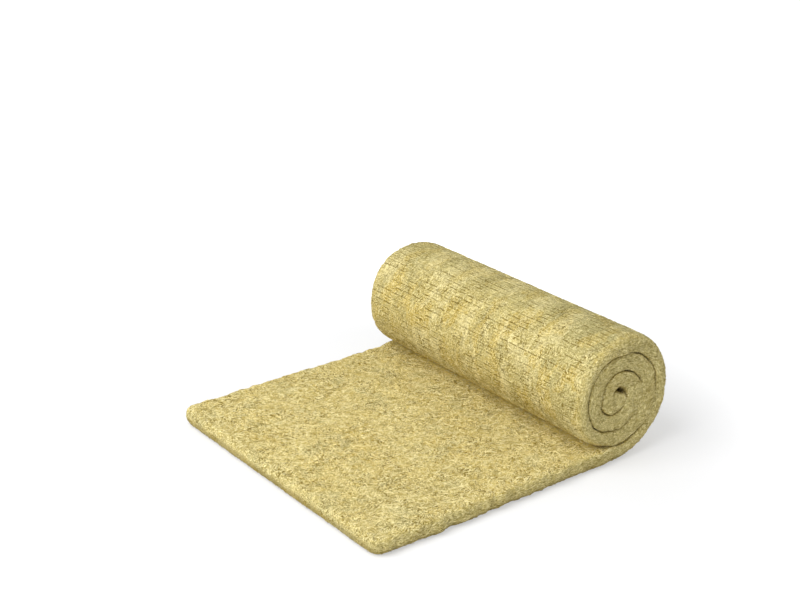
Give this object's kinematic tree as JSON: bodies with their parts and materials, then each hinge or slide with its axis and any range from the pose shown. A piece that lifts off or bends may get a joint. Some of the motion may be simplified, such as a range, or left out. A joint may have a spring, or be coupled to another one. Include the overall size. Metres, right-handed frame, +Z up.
{
  "type": "insulation roll",
  "caption": "Stone-wool insulation mat, partly unrolled: a flat run on the floor and the rest still wound in a spiral roll.",
  "frame": {"origin": "on the floor, below the middle of the whole mat", "axes": "+X along the mat from its free end to the roll, +Y along the roll's axis, +Z up"},
  "size_m": [1.0774, 1, 0.3955],
  "materials": {
    "wool": "matte, fibrous, olive to ochre"
  },
  "bodies": {
    "root": {"wool_mat": "wool"}
  },
  "joints": []
}
